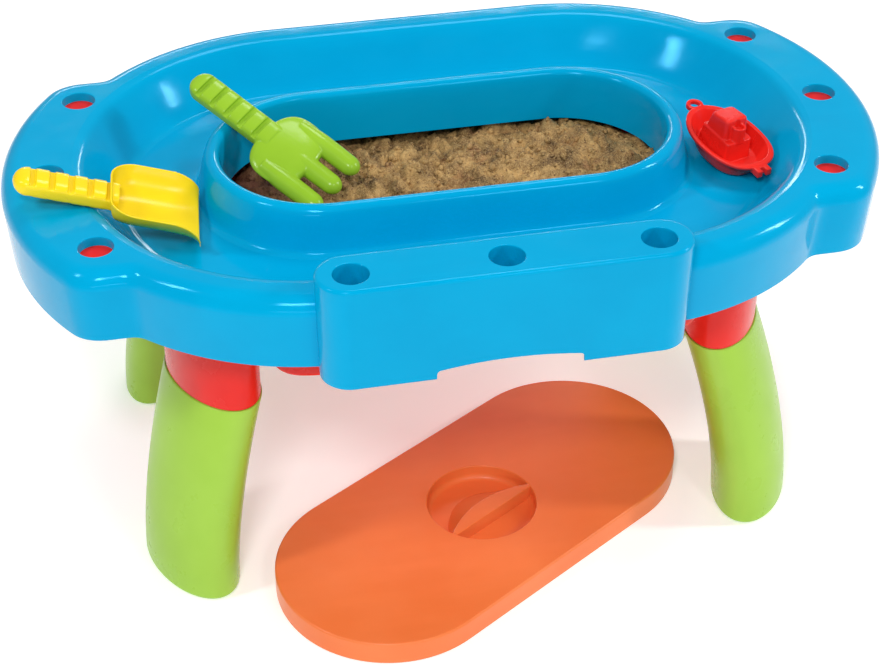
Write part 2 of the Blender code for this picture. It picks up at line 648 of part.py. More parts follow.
def tine(y):
    rings = []
    for share in (0.0, 0.15, 0.35, 0.6, 0.84, 0.94, 0.985, 1.0):
        taper = 1 - 0.12 * share
        end = math.sqrt(max(1 - max((share - 0.84) / 0.16, 0) ** 2, 0.02))
        swell = 0.80 + 0.20 * min(share / 0.35, 1.0)
        radius = TINE_RADIUS * taper * end * swell
        x = TINE_START + (TINE_END - TINE_START) * share
        drop = 0.001 * share ** 2
        rings.append([(x, y + radius * math.cos(t), HANDLE_HEIGHT / 2 - 0.001 - drop + radius * 0.85 * math.sin(t))
                      for t in np.linspace(0, 2 * math.pi, 12, endpoint=False)])
    return rings_solid("tine", rings)


def hull_ring(shrink, height, stretch=1.0):
    """Boat plan: pointed bow at +X, full stern."""
    points = []
    half = BOAT_LENGTH / 2
    for t in np.linspace(0, 2 * math.pi, 24, endpoint=False):
        c, s = math.cos(t), math.sin(t)
        x = half * stretch * math.copysign(abs(c) ** (1.0 if c > 0 else 0.80), c)
        y = BOAT_HALF * math.copysign(abs(s) ** (1.05 if c > 0 else 0.8), s)
        points.append((x * shrink, y * shrink, height))
    return points


def build_boat():
    """Toy boat: rimmed hull with two open wells and a stern block, a two-storey cabin, and a bow ring."""
    bow = BOAT_LENGTH / 2
    ring_x = bow + 0.004
    ring_low = HULL_HEIGHT - BOW_RING_THICK + 0.0005
    hull = [(0.62, 0.0), (0.70, 0.002), (0.88, HULL_HEIGHT - 0.005), (1.0, HULL_HEIGHT - 0.004), (1.0, HULL_HEIGHT),
            (0.95, HULL_HEIGHT)]
    boat = rings_solid("boat", [hull_ring(s, z) for s, z in hull])
    cut(boat, rings_solid("well", [hull_ring(0.68, HULL_FLOOR), hull_ring(0.88, HULL_HEIGHT + 0.003)]))
    cut(boat, cylinder("seat", (ring_x, 0), BOW_RING + GAP, ring_low - GAP, HULL_HEIGHT + 0.01, 18))
    join(boat, box_solid("stern", (-bow - 0.001, 0, 0.0240), (0.009, 0.010, 0.0045)))
    cut(boat, box_solid("slot", (-bow - 0.010, 0, 0.0240), (0.007, 0.0030, 0.02)))
    finish(place_toy(boat, BOAT_POINT, BOAT_TURN), RED)

    low = HULL_FLOOR + GAP
    cabin = rings_solid("boat_cabin", [rounded_level(CABIN_X + 0.002, 0.0300, 0.0195, low),
                                       rounded_level(CABIN_X, 0.0265, 0.0185, CABIN_STEP)])
    slope = 0.14
    join(cabin, rings_solid("upper", [rounded_level(CABIN_X + 0.003, 0.0205, 0.0172, CABIN_STEP - 0.004),
                                      rounded_level(CABIN_X + 0.001, 0.0165, 0.0158, CABIN_HEIGHT - 0.005, -slope),
                                      rounded_level(CABIN_X + 0.001, 0.0145, 0.0138, CABIN_HEIGHT - 0.002, -slope)]))
    join(cabin, cylinder("funnel", (FUNNEL_X, 0), FUNNEL_RADIUS, CABIN_STEP - 0.003, FUNNEL_HEIGHT, 18))
    cut(cabin, cylinder("mouth", (FUNNEL_X, 0), FUNNEL_RADIUS - 0.0035, FUNNEL_HEIGHT - 0.0035, FUNNEL_HEIGHT + 0.01, 14))
    finish(place_toy(cabin, BOAT_POINT, BOAT_TURN), RED)

    eyelet = cylinder("boat_bow_ring", (ring_x, 0), BOW_RING, ring_low, ring_low + BOW_RING_THICK, 18)
    cut(eyelet, cylinder("eye", (ring_x, 0), BOW_EYE, -0.01, HULL_HEIGHT + 0.01, 14))
    finish(place_toy(eyelet, BOAT_POINT, BOAT_TURN), RED)


def rounded_level(x, half_x, half_y, z, slope=0.0):
    """A rectangle with round corners, tilted along X by slope."""
    corner = 0.005
    points = []
    for cx, cy, start in ((1, 1, 0), (-1, 1, 90), (-1, -1, 180), (1, -1, 270)):
        for degrees in (0, 45, 90):
            turn = math.radians(start + degrees)
            px = x + cx * (half_x - corner) + corner * math.cos(turn)
            points.append((px, cy * (half_y - corner) + corner * math.sin(turn), z + slope * (px - x)))
    return points


# ---------------------------------------------------------------- assembly
def main():
    clear_scene()
    build_top()
    build_tub()
    build_sand()
    for side, where in ((-1, "left"), (1, "right")):
        build_tray(side, "end_tray_" + where)
    for sx, x_name in ((-1, "left"), (1, "right")):
        for sy, y_name in ((-1, "front"), (1, "back")):
            build_leg(sx, sy, f"leg_{y_name}_{x_name}")
            build_socket(sx, sy, f"leg_socket_{y_name}_{x_name}")
    groups = ((socket_screw_places(), "socket_screw", BOSS_END - GAP - SOCKET_WALL - GAP, 0.017),
              (tub_screw_places(), "tub_screw", TOP_Z - TUB_EARS - EAR_THICK - GAP, 0.016),
              (tray_screw_places(), "tray_screw", TOP_Z - TRAY_DROP - TRAY_THICK - GAP, 0.011))
    for places, kind, seat, length in groups:
        for index, place in enumerate(places, start=1):
            build_screw(f"{kind}_{index}", place, seat, length)
    build_lid()
    build_spade()
    build_fork()
    build_boat()


main()
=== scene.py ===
"""Looks of the sand and water table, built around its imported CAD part.

Metres, +Z up, floor at z = 0, all in the frame of the CAD model.
"""
import math

import bmesh
import bpy
import numpy as np
from mathutils import Euler, Matrix, Vector, noise


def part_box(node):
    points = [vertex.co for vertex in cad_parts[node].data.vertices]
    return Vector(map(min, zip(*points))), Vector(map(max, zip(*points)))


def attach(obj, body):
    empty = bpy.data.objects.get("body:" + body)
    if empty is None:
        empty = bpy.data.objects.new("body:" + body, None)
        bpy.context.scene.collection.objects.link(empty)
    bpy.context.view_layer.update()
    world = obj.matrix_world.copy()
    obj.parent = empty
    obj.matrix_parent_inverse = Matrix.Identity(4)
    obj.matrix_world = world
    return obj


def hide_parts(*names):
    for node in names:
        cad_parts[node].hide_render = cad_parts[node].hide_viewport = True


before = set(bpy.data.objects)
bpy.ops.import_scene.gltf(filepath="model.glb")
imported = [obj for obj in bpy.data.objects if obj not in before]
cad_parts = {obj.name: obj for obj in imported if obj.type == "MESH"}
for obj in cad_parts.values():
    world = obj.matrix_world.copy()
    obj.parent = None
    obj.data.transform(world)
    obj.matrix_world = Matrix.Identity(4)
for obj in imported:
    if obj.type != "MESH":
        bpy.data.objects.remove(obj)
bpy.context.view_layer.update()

# ---------------------------------------------------------------- driving dimensions
WALL, GAP = 0.004, 0.0003
PIT_STRAIGHT, PIT_CREST, SKIRT_DROP = 0.153, 0.130, 0.068
BODY_LENGTH, BODY_WIDTH, BODY_CORNER = 0.484, 0.320, 0.314
RIM_WIDTH, MOAT_FLOOR = 0.042, 0.058
END_LENGTH, END_WIDTH, END_CORNER, END_BOW = 0.533, 0.223, 0.020, 0.360
EDGE_ROUND, RIM_DROP, WALL_DRAFT = 0.022, 0.091, 0.004
PAD_Y, PAD_STRAIGHT, PAD_RADIUS = -0.3185, 0.1735, 0.036
PAD_RISE, PAD_DROP, PAD_ROUND = 0.033, 0.099, 0.0045
NOTCH_HALF, NOTCH_SIDE, NOTCH_RISE = 0.083, 0.012, 0.006
HOLE_RADIUS, HOLE_ROUND, COLLAR = 0.0200, 0.0012, 0.003
END_HOLES = ((0.431, 0.165), (0.4775, 0.0), (0.431, -0.165))
PAD_HOLES, PAD_HOLE_Y, CUP_DEPTH = (-0.170, 0.0, 0.170), -0.3205, 0.060
TRAY_DROP, TRAY_THICK = 0.012, 0.003

LEG_U, LEG_V, LEG_TURN = 0.0463, 0.0832, math.radians(23.8)
LEG_TOP_X, LEG_TOP_Y, LEG_TOP_DROP = 0.3138, 0.1539, 0.205
LEG_SHIFT_X, LEG_SHIFT_Y, LEG_CURVE = 0.0467, 0.0433, 1.7
SOCKET_WALL, PLUG_LENGTH = 0.0035, 0.040
BOSS_RADIUS, BOSS_LENGTH = 0.0055, 0.020
SHANK_RADIUS, HEAD_RADIUS = 0.0018, 0.0038
TUB_SCREW_X, TRAY_SCREW_X, TRAY_SCREW_Y = 0.100, 0.484, 0.085
SOCKET_SCREW, TUB_SCREW, TRAY_SCREW = 0.017, 0.016, 0.011

TUB_WALL, TUB_SIDE, TUB_CORNER, TUB_END = 0.0035, 0.252, 0.030, 0.150
TUB_TOP, TUB_EARS, TUB_FLOOR = 0.0635, 0.0823, 0.136
EAR_RADIUS, EAR_THICK, EAR_REACH = 0.010, 0.003, 0.0075
SAND_DROP, SAND_FALL = 0.087, 0.024
SAND_ROWS, CRUMBS = 150, 950

LID_LENGTH, LID_RADIUS, LID_THICK = 0.2978, 0.1396, 0.031
LID_TURN, LID_FROM_TABLE, LID_WALL = math.radians(32.2), (0.006, -0.199), 0.004
GRIP_RADIUS, GRIP_DEPTH = 0.069, 0.020
GRIP_NEAR, GRIP_WIDTH, GRIP_SLOPE = -0.022, 0.021, 0.034

GROOVES, GROOVE_FIRST, GROOVE_PITCH = 5, 0.0215, 0.0218
GROOVE_WIDTH, GROOVE_DEPTH = 0.0068, 0.0056
HANDLE_HALF, HANDLE_HEIGHT = 0.0185, 0.023
SPADE_HANDLE, FORK_HANDLE = 0.120, 0.128
SCOOP_START, SCOOP_END, SCOOP_HALF, SCOOP_DEEP, SCOOP_WALL = 0.108, 0.2186, 0.0515, 0.032, 0.0026
PALM_START, PALM_LENGTH, PALM_HALF_THICK = 0.1125, 0.0750, 0.0104
FORK_HALF, TINE_START, TINE_END, TINE_RADIUS = 0.0495, 0.1405, 0.232, 0.0143
BOAT_LENGTH, BOAT_HALF, HULL_HEIGHT, HULL_FLOOR = 0.134, 0.043, 0.029, 0.008
CABIN_X, CABIN_STEP, CABIN_HEIGHT = 0.003, 0.035, 0.061
FUNNEL_X, FUNNEL_RADIUS, FUNNEL_HEIGHT = -0.0165, 0.0088, 0.054
BOW_RING, BOW_EYE, BOW_RING_THICK = 0.0108, 0.0062, 0.0060
# where each toy starts, from the table's centre and the deck, and how it lies (degrees)
SPADE_POINT, SPADE_TURN = (-0.517, -0.0625, 0.0262), (-4.0, 17.0, 5.0)
FORK_POINT, FORK_TURN = (-0.2907, 0.1267, 0.0275), (-43.8, 22.0, 18.0)
BOAT_POINT, BOAT_TURN = (0.3455, -0.039, -0.0512), (108.0, -7.0, 0.0)
# the camera, from the table's centre and the deck; lens and sensor in millimetres, angles in radians
CAMERA_PLACE, CAMERA_TURN, CAMERA_TILT = (-0.42178, -1.98145, 1.20361), -0.20420, 0.63987
LENS, SENSOR_WIDTH, LENS_SHIFT = 79.04, 36.0, (0.005, -0.0013)

# ---------------------------------------------------------------- places read from the frame
TOP_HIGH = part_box("table_top")[1]
TOP_Z = TOP_HIGH.z - PAD_RISE
TABLE_Y = TOP_HIGH.y - BODY_WIDTH
LEG_TOP_Z = TOP_Z - LEG_TOP_DROP
UNDER_FLOOR = TOP_Z - MOAT_FLOOR - WALL
BOSS_END = UNDER_FLOOR - BOSS_LENGTH
LID_CENTRE = (LID_FROM_TABLE[0], LID_FROM_TABLE[1] + TABLE_Y)


# ---------------------------------------------------------------- mesh helpers
def mesh_object(name, points, faces):
    """A mesh object with doubled points merged and its faces pointing out."""
    mesh = bpy.data.meshes.new(name)
    mesh.from_pydata([tuple(map(float, p)) for p in points], [], faces)
    work = bmesh.new()
    work.from_mesh(mesh)
    bmesh.ops.remove_doubles(work, verts=work.verts, dist=1e-6)
    bmesh.ops.recalc_face_normals(work, faces=work.faces)
    work.to_mesh(mesh)
    work.free()
    item = bpy.data.objects.new(name, mesh)
    bpy.context.scene.collection.objects.link(item)
    return item


def loft(name, rings, hoop=False):
    """Skin a stack of equal rings; a hoop joins its last ring to its first."""
    count = len(rings[0])
    points = [p for ring in rings for p in ring]
    faces = []
    for row in range(len(rings) if hoop else len(rings) - 1):
        low = row * count
        high = ((row + 1) % len(rings)) * count
        for i in range(count):
            j = (i + 1) % count
            faces.append((low + i, low + j, high + j, high + i))
    if not hoop:
        faces.append(tuple(reversed(range(count))))
        faces.append(tuple(range(len(points) - count, len(points))))
    return mesh_object(name, points, faces)


def bake(item):
    """Turn the object's modifiers into mesh."""
    graph = bpy.context.evaluated_depsgraph_get()
    mesh = bpy.data.meshes.new_from_object(item.evaluated_get(graph))
    item.modifiers.clear()
    old = item.data
    item.data = mesh
    bpy.data.meshes.remove(old)
    return item


def combine(base, tool, operation):
    step = base.modifiers.new("cut", 'BOOLEAN')
    step.operation = operation
    step.solver = 'EXACT'
    step.object = tool
    bake(base)
    bpy.data.objects.remove(tool, do_unlink=True)
    return base


def cut(base, tool):
    return combine(base, tool, 'DIFFERENCE')


def join(base, tool):
    return combine(base, tool, 'UNION')


def gather(items):
    """Put several meshes into the first one, without joining their surfaces."""
    first = items[0]
    work = bmesh.new()
    for item in items:
        work.from_mesh(item.data)
    work.to_mesh(first.data)
    work.free()
    for item in items[1:]:
        bpy.data.objects.remove(item, do_unlink=True)
    return first


def melt(item, voxel, rounds):
    """Fuse overlapping shapes into one moulded skin with small fillets."""
    step = item.modifiers.new("melt", 'REMESH')
    step.mode = 'VOXEL'
    step.voxel_size = voxel
    ease = item.modifiers.new("ease", 'SMOOTH')
    ease.factor = 0.5
    ease.iterations = rounds
    return bake(item)


def circle(radius, height, sides=96, centre=(0.0, 0.0)):
    return [(centre[0] + radius * math.cos(t), centre[1] + radius * math.sin(t), height)
            for t in np.linspace(0, 2 * math.pi, sides, endpoint=False)]


def cylinder(name, centre, radius, low, high, sides=64):
    return loft(name, [circle(radius, low, sides, centre), circle(radius, high, sides, centre)])


def flared_hole(name, centre, radius, low, surface, flare, sides=64):
    """Cutter for a hole whose mouth is rounded where it meets a flat surface."""
    rings = [circle(radius, low, sides, centre)]
    for degrees in (0, 16, 32, 48, 64, 80):
        turn = math.radians(degrees)
        rings.append(circle(radius + flare * (1 - math.cos(turn)), surface - flare * (1 - math.sin(turn)),
                            sides, centre))
    rings.append(circle(radius + flare * 1.1, surface + 0.01, sides, centre))
    return loft(name, rings)


def block(name, centre, half):
    corners = [(sx * half[0], sy * half[1], sz * half[2])
               for sz in (-1, 1) for sx, sy in ((-1, -1), (1, -1), (1, 1), (-1, 1))]
    points = [Vector(centre) + Vector(c) for c in corners]
    return loft(name, [points[:4], points[4:]])


def arc(low, high, count):
    """Angles of an arc in radians, ends included."""
    return [math.radians(low + (high - low) * i / (count - 1)) for i in range(count)]


def soften(points, rounds=2):
    """Round the corners of an open profile, keeping both ends."""
    for _ in range(rounds):
        made = [points[0]]
        for (a, b), (c, d) in zip(points, points[1:]):
            made.append((0.75 * a + 0.25 * c, 0.75 * b + 0.25 * d))
            made.append((0.25 * a + 0.75 * c, 0.25 * b + 0.75 * d))
        made.append(points[-1])
        points = made
    return points


# ---------------------------------------------------------------- plan outlines
def turns_round(quarter):
    quarter = np.radians(quarter)
    half = np.concatenate([quarter, math.pi - quarter[::-1]])
    return np.concatenate([half, math.pi + half])


# closer together where the shelf meets the oval body
TURNS = turns_round(np.concatenate([np.linspace(0.5, 18.5, 22), np.linspace(19, 33, 44),
                                    np.linspace(34, 89, 48)]))
TUB_TURNS = turns_round(np.linspace(0.4, 89.6, 110))


def smooth_min(a, b, blend):
    mix = np.clip(0.5 + 0.5 * (b - a) / blend, 0, 1)
    return b * (1 - mix) + a * mix - blend * mix * (1 - mix)


def smooth_max(a, b, blend):
    return -smooth_min(-a, -b, blend)


def rounded_box(x, y, length, width, corner):
    dx = np.abs(x) - (length - corner)
    dy = np.abs(y) - (width - corner)
    outside = np.hypot(np.maximum(dx, 0), np.maximum(dy, 0))
    return outside + np.minimum(np.maximum(dx, dy), 0) - corner


def pit_plan(x, y):
    return np.hypot(np.maximum(np.abs(x) - PIT_STRAIGHT, 0), y)


def body_plan(x, y):
    return rounded_box(x, y, BODY_LENGTH, BODY_WIDTH, BODY_CORNER)


def moat_plan(x, y):
    return body_plan(x, y) + RIM_WIDTH


def tub_plan(x, y):
    middle = smooth_max(moat_plan(x, y), np.abs(x) - TUB_SIDE, TUB_CORNER)
    return smooth_min(middle, pit_plan(x, y) - TUB_END, 0.010)


def outer_plan(x, y):
    bow = np.hypot(np.abs(x) - (END_LENGTH - END_BOW), y) - END_BOW
    end = smooth_max(np.abs(y) - END_WIDTH, bow, END_CORNER)
    return smooth_min(body_plan(x, y), end, 0.008)


def ring(plan, offset, drop, turns=TURNS):
    """Points where rays from the centre cross a plan outline grown by offset."""
    low = np.zeros_like(turns)
    high = np.full_like(turns, 0.7)
    for _ in range(34):
        middle = (low + high) / 2
        inside = plan(middle * np.cos(turns), middle * np.sin(turns)) < offset
        low = np.where(inside, middle, low)
        high = np.where(inside, high, middle)
    return [(r * math.cos(t), r * math.sin(t) + TABLE_Y, TOP_Z - drop) for r, t in zip(low, turns)]


# ---------------------------------------------------------------- materials
class Look:
    """A procedural material: shorthand for adding and wiring its nodes."""

    def __init__(self, name):
        self.material = bpy.data.materials.new(name)
        self.material.use_nodes = True
        self.nodes = self.material.node_tree.nodes
        self.links = self.material.node_tree.links
        self.shader = self.nodes["Principled BSDF"]
        self.place = self.nodes.new("ShaderNodeTexCoord").outputs["Object"]

    def noise(self, scale, detail=3.0, rough=0.55, stretch=None):
        node = self.nodes.new("ShaderNodeTexNoise")
        node.inputs["Scale"].default_value = scale
        node.inputs["Detail"].default_value = detail
        node.inputs["Roughness"].default_value = rough
        source = self.place
        if stretch:
            mapping = self.nodes.new("ShaderNodeMapping")
            mapping.inputs["Scale"].default_value = stretch
            mapping.inputs["Rotation"].default_value = (0.3, 0.2, 0.6)
            self.links.new(source, mapping.inputs["Vector"])
            source = mapping.outputs["Vector"]
        self.links.new(source, node.inputs["Vector"])
        return node.outputs["Fac"]

    def remap(self, value, low, high, to_low, to_high):
        node = self.nodes.new("ShaderNodeMapRange")
        for key, number in (("From Min", low), ("From Max", high), ("To Min", to_low), ("To Max", to_high)):
            node.inputs[key].default_value = number
        self.links.new(value, node.inputs["Value"])
        return node.outputs["Result"]

    def mix(self, factor, first, second):
        node = self.nodes.new("ShaderNodeMix")
        node.data_type = 'RGBA'
        for key, value in ((0, factor), (6, first), (7, second)):
            if isinstance(value, tuple):
                node.inputs[key].default_value = (*value, 1.0)
            else:
                self.links.new(value, node.inputs[key])
        return node.outputs[2]

    def math(self, operation, first, second):
        node = self.nodes.new("ShaderNodeMath")
        node.operation = operation
        for key, value in ((0, first), (1, second)):
            if isinstance(value, (int, float)):
                node.inputs[key].default_value = value
            else:
                self.links.new(value, node.inputs[key])
        return node.outputs[0]

    def bump(self, height, strength, distance, after=None):
        node = self.nodes.new("ShaderNodeBump")
        node.inputs["Strength"].default_value = strength
        node.inputs["Distance"].default_value = distance
        self.links.new(height, node.inputs["Height"])
        if after:
            self.links.new(after, node.inputs["Normal"])
        return node.outputs["Normal"]

    def wire(self, value, key):
        self.links.new(value, self.shader.inputs[key])


def plastic(name, colour, deep, rough=0.22, coat=0.04, peel=0.10, shine=0.24, gleam=(1.0, 1.0, 1.0)):
    """Moulded plastic: faint flow marks, fine orange peel, hairline scuffs and a little dust."""
    look = Look(name)
    shade = look.remap(look.noise(7.0, 4.0), 0.34, 0.68, 0.0, 1.0)
    base = look.mix(shade, deep, colour)
    flow = look.remap(look.noise(16.0, 2.0, stretch=(0.5, 2.2, 1.0)), 0.45, 0.75, 0.0, 0.30)
    base = look.mix(flow, base, tuple(min(1.0, c * 1.05) for c in colour))
    dust = look.remap(look.noise(420.0, 2.0), 0.64, 0.80, 0.0, 0.025)
    look.wire(look.mix(dust, base, tuple(0.8 * c + 0.12 for c in colour)), "Base Color")
    hairline = look.remap(look.noise(90.0, 1.0, stretch=(0.25, 16.0, 6.0)), 0.68, 0.78, 0.0, 0.02)
    mist = look.remap(look.noise(24.0, 5.0), 0.30, 0.72, rough - 0.05, rough + 0.07)
    look.wire(look.math('ADD', mist, hairline), "Roughness")
    normal = look.bump(look.noise(11.0, 1.0), 0.035, 0.006)
    look.wire(look.bump(look.noise(760.0, 2.0), peel, 0.00022, normal), "Normal")
    look.shader.inputs["IOR"].default_value = 1.49
    look.shader.inputs["Specular IOR Level"].default_value = shine
    look.shader.inputs["Specular Tint"].default_value = (*gleam, 1.0)
    look.shader.inputs["Coat Weight"].default_value = coat
    look.shader.inputs["Coat Roughness"].default_value = 0.12
    return look.material


def damp_sand():
    """Crumbly damp sand: tan clumps and dark wet hollows, with painted shade tinted red by bounce light
    towards the left end.
    """
    look = Look("damp_sand")
    clump = look.remap(look.noise(38.0, 6.0, 0.62), 0.34, 0.66, 0.0, 1.0)
    base = look.mix(clump, (0.070, 0.028, 0.008), (0.56, 0.335, 0.120))
    grain = look.remap(look.noise(620.0, 4.0, 0.7), 0.46, 0.66, 0.0, 0.60)
    base = look.mix(grain, base, (0.78, 0.54, 0.23))
    rust = look.remap(look.noise(26.0, 4.0, 0.6), 0.56, 0.70, 0.0, 0.35)
    base = look.mix(rust, base, (0.26, 0.070, 0.032))
    speck = look.remap(look.noise(300.0, 3.0, 0.7), 0.60, 0.66, 0.0, 0.9)
    base = look.mix(speck, base, (0.060, 0.018, 0.010))
    split = look.nodes.new("ShaderNodeSeparateXYZ")
    look.links.new(look.place, split.inputs[0])
    # painted shade: darker and redder towards the left end, standing in for shadow and red bounce light there
    along = look.math('ADD', split.outputs["X"], look.math('MULTIPLY', look.noise(14.0, 3.0), 0.12))
    painted_left_shade = look.remap(along, -0.175, -0.060, 0.85, 0.0)
    base = look.mix(painted_left_shade, base, (0.085, 0.014, 0.010))
    look.wire(base, "Base Color")
    look.wire(look.remap(look.noise(55.0, 4.0), 0.35, 0.70, 0.55, 0.95), "Roughness")
    normal = look.bump(look.noise(130.0, 5.0, 0.7), 0.75, 0.0030)
    look.wire(look.bump(look.noise(1100.0, 3.0, 0.8), 0.85, 0.0007, normal), "Normal")
    look.shader.inputs["Specular IOR Level"].default_value = 0.35
    return look.material


def plated_steel():
    look = Look("plated_steel")
    tone = look.remap(look.noise(900.0, 3.0), 0.35, 0.70, 0.0, 1.0)
    look.wire(look.mix(tone, (0.42, 0.42, 0.44), (0.68, 0.68, 0.70)), "Base Color")
    look.wire(look.remap(look.noise(1800.0, 2.0, stretch=(1.0, 1.0, 9.0)), 0.3, 0.7, 0.18, 0.40), "Roughness")
    look.wire(look.bump(look.noise(2600.0, 2.0), 0.15, 0.0001), "Normal")
    look.shader.inputs["Metallic"].default_value = 1.0
    return look.material


def pale_floor():
    look = Look("pale_floor")
    tone = look.remap(look.noise(1.4, 4.0), 0.3, 0.7, 0.0, 1.0)
    look.wire(look.mix(tone, (0.88, 0.88, 0.875), (0.93, 0.93, 0.925)), "Base Color")
    look.wire(look.remap(look.noise(40.0, 3.0), 0.3, 0.7, 0.60, 0.75), "Roughness")
    look.wire(look.bump(look.noise(300.0, 2.0), 0.05, 0.0004), "Normal")
    look.shader.inputs["Emission Color"].default_value = (1.0, 1.0, 1.0, 1.0)
    look.shader.inputs["Emission Strength"].default_value = 0.30
    return look.material


def dress(item, body, material, nodes, sharp=32.0, weighted=True):
    """Shade, paint and hang a finished piece on its body in place of its CAD nodes."""
    work = bmesh.new()
    work.from_mesh(item.data)
    bmesh.ops.triangulate(work, faces=[face for face in work.faces if len(face.verts) > 4])
    bmesh.ops.remove_doubles(work, verts=work.verts, dist=0.00002)
    bmesh.ops.dissolve_degenerate(work, edges=work.edges, dist=0.000005)
    bmesh.ops.recalc_face_normals(work, faces=work.faces)
    work.to_mesh(item.data)
    work.free()
    item.data.materials.clear()
    item.data.materials.append(material)
    item.data.shade_smooth()
    item.data.set_sharp_from_angle(angle=math.radians(sharp))
    if weighted:
        step = item.modifiers.new("even", 'WEIGHTED_NORMAL')
        step.keep_sharp = True
        step.weight = 50
    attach(item, body)
    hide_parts(*nodes)
    return item


# ---------------------------------------------------------------- blue top
def deck_edge(radius, count):
    return [(-(EDGE_ROUND - radius * math.sin(t)), EDGE_ROUND - radius * math.cos(t))
            for t in arc(0, 90, count)]


def top_outside():
    pit = soften([(-0.012, SKIRT_DROP), (-0.0092, 0.010), (-0.006, 0.0032), (0.0, 0.0004), (0.007, 0.0032),
                  (0.0112, 0.010), (0.019, 0.046), (0.0225, 0.0555), (0.030, MOAT_FLOOR)])
    moat = soften([(-0.055, MOAT_FLOOR), (-0.0435, 0.0555), (-0.012, 0.012), (-0.004, 0.0026), (0.006, 0.0)])
    foot = -WALL_DRAFT
    lower = [(foot, RIM_DROP - 0.0012), (foot - 0.0004, RIM_DROP - 0.0004), (foot - 0.0012, RIM_DROP)]
    rings = [ring(pit_plan, PIT_CREST + offset, drop) for offset, drop in pit]
    rings += [ring(moat_plan, offset, drop) for offset, drop in moat]
    rings += [ring(outer_plan, offset, drop) for offset, drop in deck_edge(EDGE_ROUND, 13) + lower]
    return loft("blue_top", rings, hoop=True)


def top_inside():
    below = RIM_DROP + 0.06
    pit = [(-0.0080, below), (-0.005, 0.012), (0.001, 0.0055), (0.007, 0.012), (0.015, 0.047),
           (0.024, MOAT_FLOOR + WALL)]
    moat = [(-0.047, MOAT_FLOOR + WALL), (-0.008, 0.0165), (0.003, WALL + 0.0015), (0.012, WALL)]
    rings = [ring(pit_plan, PIT_CREST + offset, drop) for offset, drop in pit]
    rings += [ring(moat_plan, offset, drop) for offset, drop in moat]
    rings += [ring(outer_plan, offset, drop) for offset, drop in deck_edge(EDGE_ROUND - WALL, 6)]
    rings.append(ring(outer_plan, -WALL_DRAFT - WALL, below))
    return loft("top_hollow", rings, hoop=True)


def pad_ring(radius, drop):
    points = []
    for side in (1, -1):
        for turn in arc(-90, 90, 34):
            points.append((side * (PAD_STRAIGHT + radius * math.cos(turn)),
                           PAD_Y + side * radius * math.sin(turn) + TABLE_Y, TOP_Z - drop))
    return points


def front_pad():
    rings = [pad_ring(PAD_RADIUS - 0.0032, PAD_DROP), pad_ring(PAD_RADIUS - 0.0022, PAD_DROP - 0.0010)]
    for turn in arc(0, 90, 8):
        rings.append(pad_ring(PAD_RADIUS - PAD_ROUND * (1 - math.cos(turn)),
                              PAD_ROUND * (1 - math.sin(turn)) - PAD_RISE))
    return loft("pad", rings)


def pad_hollow():
    inner = PAD_RADIUS - WALL
    return loft("pad_hollow", [pad_ring(inner - 0.002, PAD_DROP + 0.03), pad_ring(inner, WALL - PAD_RISE)])


def hand_notch():
    """Arched cutter for the hand hold in the pad's lower edge."""
    low = TOP_Z - PAD_DROP
    outline = [(-NOTCH_HALF - 0.001, low - 0.02)]
    corner = 0.005
    for side in (-1, 1):
        bend = [(side * (NOTCH_HALF - corner * (1 - math.cos(t))),
                 low + NOTCH_SIDE - corner * (1 - math.sin(t))) for t in arc(0, 90, 6)]
        if side < 0:
            outline += bend
            reach = NOTCH_HALF - corner
            outline += [(x, low + NOTCH_SIDE + NOTCH_RISE * (1 - (x / reach) ** 2))
                        for x in np.linspace(-reach, reach, 26)[1:-1]]
        else:
            outline += bend[::-1]
    outline.append((NOTCH_HALF + 0.001, low - 0.02))
    front = TABLE_Y + PAD_Y - PAD_RADIUS
    return loft("notch", [[(x, y, z) for x, z in outline] for y in (front - 0.010, front + 0.012)])


def end_hole_places():
    return [(side * x, y + TABLE_Y) for side in (-1, 1) for x, y in END_HOLES]


def pad_hole_places():
    return [(x, PAD_HOLE_Y + TABLE_Y) for x in PAD_HOLES]


def socket_screw_places():
    return [(sx * LEG_TOP_X, sy * LEG_TOP_Y + TABLE_Y) for sx in (-1, 1) for sy in (-1, 1)]


def tub_screw_places():
    reach = BODY_WIDTH - RIM_WIDTH + EAR_REACH
    return [(sx * TUB_SCREW_X, sy * reach + TABLE_Y) for sx in (-1, 1) for sy in (-1, 1)]


def tray_screw_places():
    return [(sx * TRAY_SCREW_X, sy * TRAY_SCREW_Y + TABLE_Y) for sx in (-1, 1) for sy in (-1, 1)]


